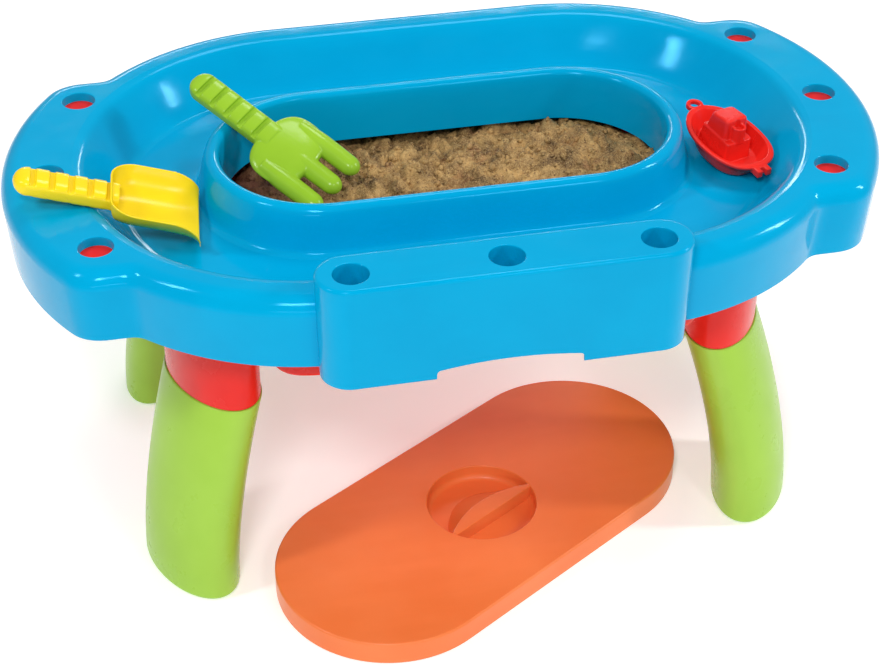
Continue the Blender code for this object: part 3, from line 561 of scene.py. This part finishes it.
def build_top():
    pad_top = TOP_Z + PAD_RISE
    cup_floor = pad_top - CUP_DEPTH
    tray_top = TOP_Z - TRAY_DROP
    keep = [cylinder("collar", place, HOLE_RADIUS + COLLAR, tray_top + GAP, TOP_Z + 0.01)
            for place in end_hole_places()]
    keep += [cylinder("cup", place, HOLE_RADIUS + COLLAR, cup_floor - COLLAR, pad_top + 0.01)
             for place in pad_hole_places()]
    keep += [cylinder("boss", place, BOSS_RADIUS, BOSS_END, UNDER_FLOOR + 0.002, 32)
             for place in socket_screw_places()]
    keep += [cylinder("boss", place, BOSS_RADIUS, BOSS_END, TOP_Z - 0.001, 32)
             for place in tub_screw_places()]
    keep += [cylinder("boss", place, BOSS_RADIUS, tray_top + GAP, TOP_Z - 0.001, 32)
             for place in tray_screw_places()]
    hollow = cut(join(top_inside(), pad_hollow()), gather(keep))
    holes = [flared_hole("hole", place, HOLE_RADIUS, tray_top - 0.01, TOP_Z, HOLE_ROUND)
             for place in end_hole_places()]
    holes += [flared_hole("hole", place, HOLE_RADIUS, cup_floor, pad_top, HOLE_ROUND)
              for place in pad_hole_places()]
    holes += [cylinder("pilot", place, SHANK_RADIUS + GAP, BOSS_END - 0.01, BOSS_END + 0.016, 20)
              for place in socket_screw_places() + tub_screw_places()]
    holes += [cylinder("pilot", place, SHANK_RADIUS + GAP, tray_top - 0.01, tray_top + 0.009, 20)
              for place in tray_screw_places()]
    holes.append(hand_notch())
    top = cut(join(top_outside(), front_pad()), hollow)
    cut(top, gather(holes))
    return dress(top, "table", BLUE, ["table_top"], sharp=28.0)


# ---------------------------------------------------------------- red tub and sand
def build_tub():
    outside = [(-0.020, TUB_FLOOR)]
    outside += [(-0.008 * (1 - math.sin(t)), TUB_FLOOR - 0.008 * (1 - math.cos(t))) for t in arc(0, 90, 7)]
    outside += [(0.0, TUB_TOP + 0.0006), (-0.0006, TUB_TOP)]
    inside = [(-TUB_WALL + 0.0006, TUB_TOP), (-TUB_WALL, TUB_TOP + 0.0006), (-TUB_WALL, TUB_FLOOR - 0.012)]
    inside += [(-TUB_WALL - 0.010, TUB_FLOOR - TUB_WALL)]
    tub = loft("red_tub", [ring(tub_plan, offset, drop, TUB_TURNS) for offset, drop in outside + inside])
    high = TOP_Z - TUB_EARS
    ears = [cylinder("ear", place, EAR_RADIUS, high - EAR_THICK, high, 48) for place in tub_screw_places()]
    clear = [cylinder("clear", place, SHANK_RADIUS + GAP, high - 0.01, high + 0.01, 20)
             for place in tub_screw_places()]
    cut(join(tub, gather(ears)), gather(clear))
    return dress(tub, "table", RED, ["sand_tub"])


def lattice(x, y, size, seed):
    """Smooth value noise in the plane, 0 to 1."""
    grid = np.random.default_rng(seed).random((64, 64))
    u, v = x / size + 300.0, y / size + 300.0
    i, j = np.floor(u).astype(int), np.floor(v).astype(int)
    a, b = u - i, v - j
    a, b = a * a * (3 - 2 * a), b * b * (3 - 2 * b)
    near = grid[i % 64, j % 64] * (1 - a) + grid[(i + 1) % 64, j % 64] * a
    far = grid[i % 64, (j + 1) % 64] * (1 - a) + grid[(i + 1) % 64, (j + 1) % 64] * a
    return near * (1 - b) + far * b


def clods(x, y, size, seed):
    """Rounded clumps with creases between them, 0 to 1."""
    shift = 0.35 * size * (lattice(x, y, size * 1.7, seed + 50) - 0.5)
    return np.abs(2 * lattice(x + shift, y - shift, size, seed) - 1)


def sand_height(x, y):
    """Heaped towards the right end, dug out at the left, low below the moat, and crumbly all over."""
    heap = 0.018 * np.exp(-((x - 0.19) ** 2 / 0.018 + (y - 0.03) ** 2 / 0.011))
    dug = 0.012 * np.exp(-((x + 0.24) ** 2 / 0.006 + y ** 2 / 0.010))
    away = np.clip((pit_plan(x, y) - 0.105) / 0.11, 0, 1)
    broad = 0.012 * (lattice(x, y, 0.060, 3) - 0.5)
    rough = 0.0150 * clods(x, y, 0.027, 11) + 0.0085 * clods(x, y, 0.0120, 12)
    rough += 0.0042 * clods(x, y, 0.0055, 13)
    rough += 0.0014 * lattice(x, y, 0.0024, 14)
    level = TOP_Z - SAND_DROP + heap - dug + broad + rough - 0.0095
    return level - SAND_FALL * away * away * (3 - 2 * away)


def build_sand():
    edge = -TUB_WALL - 0.0012
    rings = [ring(tub_plan, edge - 0.006, TUB_FLOOR - TUB_WALL - GAP, TUB_TURNS),
             ring(tub_plan, edge, TUB_FLOOR - 0.012, TUB_TURNS)]
    outline = np.array(ring(tub_plan, edge, 0.0, TUB_TURNS))
    for share in np.linspace(1.0, 0.02, SAND_ROWS):
        x, y = outline[:, 0] * share, (outline[:, 1] - TABLE_Y) * share
        z = sand_height(x, y)
        rings.append(list(zip(x, y + TABLE_Y, z)))
    sand = loft("sand_heap", rings)
    return dress(sand, "table", SAND, ["sand_fill"], sharp=180.0, weighted=False)


def build_crumbs():
    """Loose clods lying on the heap."""
    draw = np.random.default_rng(42)
    work = bmesh.new()
    made = 0
    while made < CRUMBS:
        x, y = draw.uniform(-0.28, 0.28), draw.uniform(-0.125, 0.125)
        if pit_plan(x, y) > 0.124:
            continue
        size = 0.0011 + 0.0034 * draw.random() ** 3.0
        z = float(sand_height(np.array([x]), np.array([y]))[0])
        rise = 0.35 * size
        turn = Euler(draw.uniform(0, 6.28, 3)).to_matrix().to_4x4()
        squash = Matrix.Diagonal((*draw.uniform(0.7, 1.3, 3), 1.0))
        place = Matrix.Translation((x, y + TABLE_Y, z + rise)) @ turn @ squash
        born = bmesh.ops.create_icosphere(work, subdivisions=2, radius=size, matrix=place)["verts"]
        centre = Vector((x, y + TABLE_Y, z + rise))
        seed = Vector(draw.uniform(0, 50, 3))
        for vert in born:
            away = vert.co - centre
            vert.co = centre + away * (1 + 0.55 * noise.noise(away.normalized() * 1.6 + seed))
        made += 1
    mesh = bpy.data.meshes.new("sand_crumbs")
    work.to_mesh(mesh)
    work.free()
    crumbs = bpy.data.objects.new("sand_crumbs", mesh)
    bpy.context.scene.collection.objects.link(crumbs)
    mesh.materials.append(SAND)
    mesh.shade_smooth()
    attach(crumbs, "table")
    return crumbs


# ---------------------------------------------------------------- legs
def leg_centre(height):
    fall = min(max((LEG_TOP_Z - height) / LEG_TOP_Z, 0.0), 1.0)
    bow = 1 - (1 - fall) ** LEG_CURVE
    return LEG_TOP_X + LEG_SHIFT_X * bow, LEG_TOP_Y + LEG_SHIFT_Y * bow


def leg_ring(sx, sy, inset, height, sides=80):
    cx, cy = leg_centre(height)
    points = []
    for t in np.linspace(0, 2 * math.pi, sides, endpoint=False):
        u = (LEG_U - inset) * math.cos(t)
        v = (LEG_V - inset) * math.sin(t)
        x = cx + u * math.cos(LEG_TURN) - v * math.sin(LEG_TURN)
        y = cy + u * math.sin(LEG_TURN) + v * math.cos(LEG_TURN)
        points.append((sx * x, sy * y + TABLE_Y, height))
    return points


def build_leg(sx, sy, name):
    foot, lip = 0.006, 0.0012
    outside = [(0.020, 0.0)]
    outside += [(foot * (1 - math.sin(t)), foot * (1 - math.cos(t))) for t in arc(0, 90, 7)]
    outside += [(0.0, z) for z in np.linspace(0.02, LEG_TOP_Z - 0.01, 18)]
    outside += [(lip * (1 - math.cos(t)), LEG_TOP_Z - lip * (1 - math.sin(t))) for t in arc(0, 90, 4)]
    inside = [(WALL, LEG_TOP_Z), (WALL, LEG_TOP_Z - 0.02), (WALL, LEG_TOP_Z - PLUG_LENGTH)]
    inside += [(WALL, z) for z in np.linspace(LEG_TOP_Z - 0.06, 0.02, 10)] + [(0.014, WALL)]
    leg = loft("visual_" + name, [leg_ring(sx, sy, inset, height) for inset, height in outside + inside])
    return dress(leg, "table", GREEN, [name], sharp=40.0)


def build_socket(sx, sy, name):
    shoulder = LEG_TOP_Z + GAP
    plug = WALL + GAP
    inner = plug + SOCKET_WALL
    web = BOSS_END - GAP
    high = UNDER_FLOOR - GAP
    lip = 0.0012
    profile = [(inner, web - SOCKET_WALL), (inner, shoulder), (inner, LEG_TOP_Z - PLUG_LENGTH)]
    profile += [(plug, LEG_TOP_Z - PLUG_LENGTH), (plug, LEG_TOP_Z - 0.018), (plug, shoulder)]
    profile += [(0.0015 + lip * (1 - math.sin(t)), shoulder + lip * (1 - math.cos(t))) for t in arc(0, 90, 4)]
    profile += [(0.0015, z) for z in np.linspace(shoulder + 0.01, high - 0.002, 6)]
    profile += [(0.0018, high), (0.0015 + SOCKET_WALL, high), (0.0015 + SOCKET_WALL, web)]
    socket = loft("visual_" + name, [leg_ring(sx, sy, inset, height) for inset, height in profile])
    place = (sx * LEG_TOP_X, sy * LEG_TOP_Y + TABLE_Y)
    cut(socket, cylinder("clear", place, SHANK_RADIUS + GAP, web - 0.02, web + 0.01, 20))
    return dress(socket, "table", RED, [name], sharp=40.0)


# ---------------------------------------------------------------- screws
def build_screw(name, place, seat, length):
    """Pan-head screw driven upwards, with a cross recess and a threaded shank."""
    x, y = place
    core = SHANK_RADIUS * 0.8
    profile = [(0.0008, -0.0026), (0.0020, -0.0025), (0.0030, -0.0021), (HEAD_RADIUS, -0.0011),
               (HEAD_RADIUS, 0.0), (core, 0.0)]
    height = 0.0008
    while height < length - 0.002:
        profile += [(core, height), (SHANK_RADIUS, height + 0.0004), (core, height + 0.0008)]
        height += 0.0012
    profile.append((0.0004, length))
    screw = loft("visual_" + name, [circle(r, seat + z, 28, (x, y)) for r, z in profile])
    recess = [block("bar", (x, y, seat - 0.0026), half)
              for half in ((0.0022, 0.0004, 0.0009), (0.0004, 0.0022, 0.0009))]
    cut(screw, join(*recess))
    return dress(screw, "table", STEEL, [name], sharp=40.0)


# ---------------------------------------------------------------- lid
def lid_level(radius, height):
    straight = LID_LENGTH - LID_RADIUS
    points = []
    for side in (1, -1):
        for turn in arc(-90, 90, 60):
            points.append((side * (straight + radius * math.cos(turn)), side * radius * math.sin(turn),
                           height))
    return points


def grip_bar(floor):
    """Upright near side, lens-shaped top, sloping far side."""
    crown = LID_THICK - 0.0008
    rings = []
    for s in np.linspace(-1, 1, 61):
        bulge = 1 - s * s
        far = GRIP_NEAR + 0.003 + GRIP_WIDTH * bulge
        foot = far + 0.002 + GRIP_SLOPE * bulge
        profile = [(GRIP_NEAR, floor - 0.002), (foot, floor - 0.002), (far + 0.0010, crown - 0.0012),
                   (far + 0.0002, crown - 0.0003), (far - 0.0008, crown), (GRIP_NEAR + 0.0012, crown),
                   (GRIP_NEAR + 0.0004, crown - 0.0003), (GRIP_NEAR, crown - 0.0012)]
        rings.append([(s * (GRIP_RADIUS + 0.002), y, z) for y, z in profile])
    return loft("grip", rings)


def build_lid():
    edge, foot = 0.0030, 0.0015
    rings = [lid_level(LID_RADIUS - foot, 0.0), lid_level(LID_RADIUS - foot * 0.3, foot * 0.3)]
    rings += [lid_level(LID_RADIUS, foot), lid_level(LID_RADIUS, LID_THICK - edge)]
    rings += [lid_level(LID_RADIUS - edge * (1 - math.cos(t)), LID_THICK - edge * (1 - math.sin(t)))
              for t in arc(15, 90, 6)]
    lid = loft("orange_lid", rings)
    floor = LID_THICK - GRIP_DEPTH
    bowl = [circle(GRIP_RADIUS - 0.016, floor, 128)]
    bowl += [circle(GRIP_RADIUS - 0.008 * (1 - math.sin(t)), floor + 0.008 * (1 - math.cos(t)), 128)
             for t in arc(10, 90, 7)]
    bowl += [circle(GRIP_RADIUS + 0.0016 * (1 - math.cos(t)), LID_THICK - 0.0016 * (1 - math.sin(t)), 128)
             for t in arc(0, 80, 5)]
    bowl.append(circle(GRIP_RADIUS + 0.002, LID_THICK + 0.01, 128))
    cut(lid, loft("recess", bowl))
    join(lid, grip_bar(floor))
    under = loft("under", [lid_level(LID_RADIUS - LID_WALL, -0.01),
                           lid_level(LID_RADIUS - LID_WALL, LID_THICK - 0.012),
                           lid_level(LID_RADIUS - 0.012, LID_THICK - LID_WALL)])
    cut(under, cylinder("keep", (0, 0), GRIP_RADIUS + LID_WALL, floor - LID_WALL, LID_THICK + 0.01, 96))
    cut(lid, under)
    lid.data.transform(Matrix.Translation((*LID_CENTRE, 0.0)) @ Matrix.Rotation(LID_TURN, 4, 'Z'))
    return dress(lid, "lid", ORANGE, ["lid"], sharp=25.0)


# ---------------------------------------------------------------- toys
def toy_handle(length):
    """Handle along +X from its rounded end, with cross grooves above and below."""
    rings = []
    round_end = [0.14 * (1 - math.cos(t)) for t in arc(0, 90, 12)]
    for share in round_end + [0.3, 0.5, 0.75, 1.0]:
        swell = math.sqrt(max(1 - (1 - min(share / 0.14, 1)) ** 2, 0.03))
        points = []
        for t in np.linspace(0, 2 * math.pi, 48, endpoint=False):
            c, s = math.cos(t), math.sin(t)
            y = HANDLE_HALF * swell * math.copysign(abs(c) ** 0.6, c)
            z = HANDLE_HEIGHT / 2 * (1 + swell * math.copysign(abs(s) ** 0.6, s))
            points.append((share * length, y, z))
        rings.append(points)
    handle = loft("handle", rings)
    grooves = []
    for index in range(GROOVES):
        x = GROOVE_FIRST + index * GROOVE_PITCH
        for low, high in ((HANDLE_HEIGHT - GROOVE_DEPTH, HANDLE_HEIGHT + 0.01), (-0.01, GROOVE_DEPTH * 0.7)):
            size = (GROOVE_WIDTH / 2, HANDLE_HALF * 1.2, (high - low) / 2)
            grooves.append(block("groove", (x, 0, (low + high) / 2), size))
    return cut(handle, gather(grooves))


def place_toy(item, point, angles):
    yaw, pitch, roll = (math.radians(angle) for angle in angles)
    turn = Matrix.Rotation(yaw, 4, 'Z') @ Matrix.Rotation(pitch, 4, 'Y') @ Matrix.Rotation(roll, 4, 'X')
    item.data.transform(Matrix.Translation((point[0], point[1] + TABLE_Y, point[2] + TOP_Z)) @ turn)
    return item


def scoop_point(share, across, thick):
    shoulder = math.sqrt(1 - (1 - min(share / 0.30, 1)) ** 2)
    half = SCOOP_HALF * (0.42 + 0.58 * shoulder)
    fall = math.sqrt(max(1 - max((share - 0.62) / 0.38, 0) ** 2, 0.0))
    side = abs(across) ** 3.5 * (0.10 + 0.90 * fall)
    back = max(1 - share / 0.16, 0) ** 2
    wall = max(side, back)
    x = SCOOP_START + (SCOOP_END - SCOOP_START) * share + thick * back
    y = half * across * (1 - thick / SCOOP_HALF * side)
    return (x, y, SCOOP_DEEP * (wall - 0.55) + HANDLE_HEIGHT / 2 + thick * (1 - wall))


def build_spade():
    shares = np.concatenate([np.linspace(0.0, 0.16, 14), np.linspace(0.18, 0.62, 20),
                             np.linspace(0.64, 1.0, 24)])
    across = np.sin(np.linspace(-math.pi / 2, math.pi / 2, 61))
    rings = []
    for share in shares:
        upper = [scoop_point(share, v, SCOOP_WALL) for v in across]
        lower = [scoop_point(share, v, 0.0) for v in across]
        rings.append(lower + upper[::-1])
    spade = melt(gather([loft("yellow_spade", rings), toy_handle(SPADE_HANDLE)]), 0.0009, 3)
    place_toy(spade, SPADE_POINT, SPADE_TURN)
    return dress(spade, "spade", YELLOW, ["spade"], sharp=180.0, weighted=False)


def tine(y):
    rings = []
    round_end = 0.84 + 0.16 * np.sin(np.linspace(0.12, 1.55, 14))
    for share in np.concatenate([np.linspace(0, 0.84, 12), round_end]):
        taper = 1 - 0.12 * share
        end = math.sqrt(max(1 - max((share - 0.84) / 0.16, 0) ** 2, 0.01))
        swell = 0.80 + 0.20 * min(share / 0.35, 1.0)
        radius = TINE_RADIUS * taper * end * swell
        x = TINE_START + (TINE_END - TINE_START) * share
        middle = HANDLE_HEIGHT / 2 - 0.001 - 0.001 * share ** 2
        rings.append([(x, y + radius * math.cos(t), middle + radius * 0.85 * math.sin(t))
                      for t in np.linspace(0, 2 * math.pi, 40, endpoint=False)])
    return loft("tine", rings)


def build_fork():
    rings = []
    for share in np.sin(np.linspace(-1.5, 1.5, 27)):
        reach = (1 - abs(share) ** 2.6) ** (1 / 2.6)
        x = PALM_START + PALM_LENGTH / 2 * (1 + share)
        rings.append([(x, FORK_HALF * reach * math.cos(t),
                       HANDLE_HEIGHT / 2 + PALM_HALF_THICK * reach ** 0.4 * math.sin(t))
                      for t in np.linspace(0, 2 * math.pi, 48, endpoint=False)])
    parts = [loft("lime_fork", rings), toy_handle(FORK_HANDLE)]
    parts += [tine(side * (FORK_HALF - TINE_RADIUS)) for side in (-1, 0, 1)]
    fork = melt(gather(parts), 0.0009, 3)
    place_toy(fork, FORK_POINT, FORK_TURN)
    return dress(fork, "fork", LIME, ["fork"], sharp=180.0, weighted=False)


def hull_ring(shrink, height):
    points = []
    half = BOAT_LENGTH / 2
    for t in np.linspace(0, 2 * math.pi, 96, endpoint=False):
        c, s = math.cos(t), math.sin(t)
        x = half * math.copysign(abs(c) ** (1.0 if c > 0 else 0.80), c)
        y = BOAT_HALF * math.copysign(abs(s) ** (1.05 if c > 0 else 0.8), s)
        points.append((x * shrink, y * shrink, height))
    return points


def rounded_level(x, half_x, half_y, z, corner=0.005, tilt=0.0):
    points = []
    for cx, cy, start in ((1, 1, 0), (-1, 1, 90), (-1, -1, 180), (1, -1, 270)):
        for turn in arc(start, start + 90, 8):
            px = x + cx * (half_x - corner) + corner * math.cos(turn)
            points.append((px, cy * (half_y - corner) + corner * math.sin(turn), z + tilt * (px - x)))
    return points


def build_boat():
    """Open rimmed hull, two-storey cabin with a funnel, bow ring and slotted stern block, in one skin."""
    bow = BOAT_LENGTH / 2
    ring_x = bow + 0.004
    hull = [(0.60, 0.0), (0.67, 0.0006), (0.71, 0.003), (0.80, 0.0125), (0.88, HULL_HEIGHT - 0.0050),
            (0.985, HULL_HEIGHT - 0.0045), (1.0, HULL_HEIGHT - 0.0030), (1.0, HULL_HEIGHT - 0.0008),
            (0.985, HULL_HEIGHT), (0.93, HULL_HEIGHT)]
    boat = loft("red_boat", [hull_ring(s, z) for s, z in hull])
    cut(boat, loft("well", [hull_ring(0.66, HULL_FLOOR), hull_ring(0.69, HULL_FLOOR + 0.001),
                            hull_ring(0.88, HULL_HEIGHT), hull_ring(0.90, HULL_HEIGHT + 0.006)]))
    slope = -0.14
    roof = [rounded_level(CABIN_X + 0.001, half_x, half_y, CABIN_HEIGHT - drop, tilt=slope)
            for half_x, half_y, drop in ((0.0168, 0.0160, 0.0060), (0.0160, 0.0152, 0.0035),
                                         (0.0140, 0.0134, 0.0022))]
    parts = [boat,
             loft("lower", [rounded_level(CABIN_X + 0.002, 0.0300, 0.0195, HULL_FLOOR - 0.002),
                            rounded_level(CABIN_X, 0.0268, 0.0187, CABIN_STEP - 0.0012),
                            rounded_level(CABIN_X, 0.0258, 0.0177, CABIN_STEP)]),
             loft("upper", [rounded_level(CABIN_X + 0.003, 0.0205, 0.0172, CABIN_STEP - 0.004)] + roof)]
    mouth_radius, mouth_floor = FUNNEL_RADIUS - 0.0033, FUNNEL_HEIGHT - 0.0060
    funnel = cylinder("funnel", (FUNNEL_X, 0), FUNNEL_RADIUS, CABIN_STEP - 0.003, FUNNEL_HEIGHT)
    mouth = cylinder("mouth", (FUNNEL_X, 0), mouth_radius, mouth_floor, FUNNEL_HEIGHT + 0.01)
    cut(parts[2], cylinder("clear", (FUNNEL_X, 0), mouth_radius, mouth_floor, FUNNEL_HEIGHT + 0.02))
    parts.append(cut(funnel, mouth))
    low = HULL_HEIGHT - BOW_RING_THICK + 0.0005
    eyelet = cylinder("eyelet", (ring_x, 0), BOW_RING, low, low + BOW_RING_THICK)
    parts.append(cut(eyelet, cylinder("eye", (ring_x, 0), BOW_EYE, -0.01, HULL_HEIGHT + 0.01)))
    stern = block("stern", (-bow - 0.001, 0, 0.0240), (0.009, 0.010, 0.0045))
    parts.append(cut(stern, block("slot", (-bow - 0.010, 0, 0.0240), (0.007, 0.0030, 0.02))))
    boat = melt(gather(parts), 0.0008, 3)
    place_toy(boat, BOAT_POINT, BOAT_TURN)
    nodes = ["boat", "boat_cabin", "boat_bow_ring"]
    return dress(boat, "boat", RED, nodes, sharp=180.0, weighted=False)


# ---------------------------------------------------------------- studio
def softbox(name, azimuth, elevation, distance, size, watts):
    """A square area light that looks at the table; azimuth 0 is the front, 90 the right."""
    a, e = math.radians(azimuth), math.radians(elevation)
    aim = Vector((0.0, TABLE_Y, TOP_Z * 0.8))
    away = Vector((math.sin(a) * math.cos(e), -math.cos(a) * math.cos(e), math.sin(e)))
    light = bpy.data.lights.new(name, 'AREA')
    light.shape = 'RECTANGLE'
    light.size, light.size_y = size
    light.energy = watts
    holder = bpy.data.objects.new(name, light)
    holder.location = aim + away * distance
    holder.rotation_mode = 'QUATERNION'
    holder.rotation_quaternion = away.to_track_quat('Z', 'Y')
    bpy.context.scene.collection.objects.link(holder)


def build_studio():
    half, thick = 9.0, 0.05
    floor = loft("floor", [rounded_level(0, half, half, -thick, 0.5),
                           rounded_level(0, half, half, -0.0005, 0.5)])
    floor.data.materials.append(pale_floor())
    softbox("overhead", 155, 66, 2.6, (0.8, 0.8), 17)
    softbox("key", -20, 44, 2.8, (0.45, 0.45), 29)
    softbox("right", 78, 30, 2.4, (0.22, 0.6), 19)
    softbox("left", -76, 44, 2.4, (0.25, 0.4), 14)
    softbox("front", 18, 36, 3.0, (0.5, 0.5), 11)
    softbox("low_front", -8, 7, 2.8, (1.8, 0.25), 8)
    softbox("back", 172, 22, 2.8, (2.2, 0.14), 16)
    world = bpy.data.worlds.new("studio")
    world.use_nodes = True
    sky = world.node_tree.nodes["Background"]
    sky.inputs["Color"].default_value = (1.0, 1.0, 1.0, 1.0)
    sky.inputs["Strength"].default_value = 0.27
    bpy.context.scene.world = world
    bpy.context.scene.view_settings.view_transform = 'Standard'


def build_camera():
    """The camera stands in front, a little left, and looks down at the table."""
    lens = bpy.data.cameras.new("camera")
    lens.sensor_width = SENSOR_WIDTH
    lens.lens = LENS
    lens.shift_x, lens.shift_y = LENS_SHIFT
    camera = bpy.data.objects.new("camera", lens)
    back = Vector((math.sin(CAMERA_TURN) * math.cos(CAMERA_TILT),
                   -math.cos(CAMERA_TURN) * math.cos(CAMERA_TILT), math.sin(CAMERA_TILT)))
    across, away, up = CAMERA_PLACE
    camera.location = (across, TABLE_Y + away, TOP_Z + up)
    camera.rotation_mode = 'QUATERNION'
    camera.rotation_quaternion = (-back).to_track_quat('-Z', 'Y')
    bpy.context.scene.collection.objects.link(camera)
    bpy.context.scene.camera = camera


# ---------------------------------------------------------------- assembly
BLUE = plastic("blue_plastic", (0.0, 0.350, 0.62), (0.0, 0.325, 0.59), rough=0.11, coat=0.0, shine=0.26,
               gleam=(0.16, 0.62, 1.0))
RED = plastic("red_plastic", (0.80, 0.022, 0.014), (0.72, 0.014, 0.010), rough=0.24)
GREEN = plastic("green_plastic", (0.36, 0.60, 0.070), (0.32, 0.55, 0.055), rough=0.30)
LIME = plastic("lime_plastic", (0.31, 0.54, 0.032), (0.26, 0.47, 0.022), rough=0.20)
YELLOW = plastic("yellow_plastic", (0.90, 0.69, 0.012), (0.86, 0.61, 0.009), rough=0.22)
ORANGE = plastic("orange_plastic", (0.86, 0.215, 0.060), (0.82, 0.185, 0.045), rough=0.34, shine=0.30)
STEEL = plated_steel()
SAND = damp_sand()

for node in ("end_tray_left", "end_tray_right"):
    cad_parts[node].data.materials.clear()
    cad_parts[node].data.materials.append(RED)

build_top()
build_tub()
build_sand()
build_crumbs()
for sx, x_name in ((-1, "left"), (1, "right")):
    for sy, y_name in ((-1, "front"), (1, "back")):
        build_leg(sx, sy, f"leg_{y_name}_{x_name}")
        build_socket(sx, sy, f"leg_socket_{y_name}_{x_name}")
SCREWS = ((socket_screw_places(), "socket_screw", BOSS_END - GAP - SOCKET_WALL - GAP, SOCKET_SCREW),
          (tub_screw_places(), "tub_screw", TOP_Z - TUB_EARS - EAR_THICK - GAP, TUB_SCREW),
          (tray_screw_places(), "tray_screw", TOP_Z - TRAY_DROP - TRAY_THICK - GAP, TRAY_SCREW))
for places, kind, seat, length in SCREWS:
    for index, place in enumerate(places, start=1):
        build_screw(f"{kind}_{index}", place, seat, length)
build_lid()
build_spade()
build_fork()
build_boat()
build_studio()
build_camera()
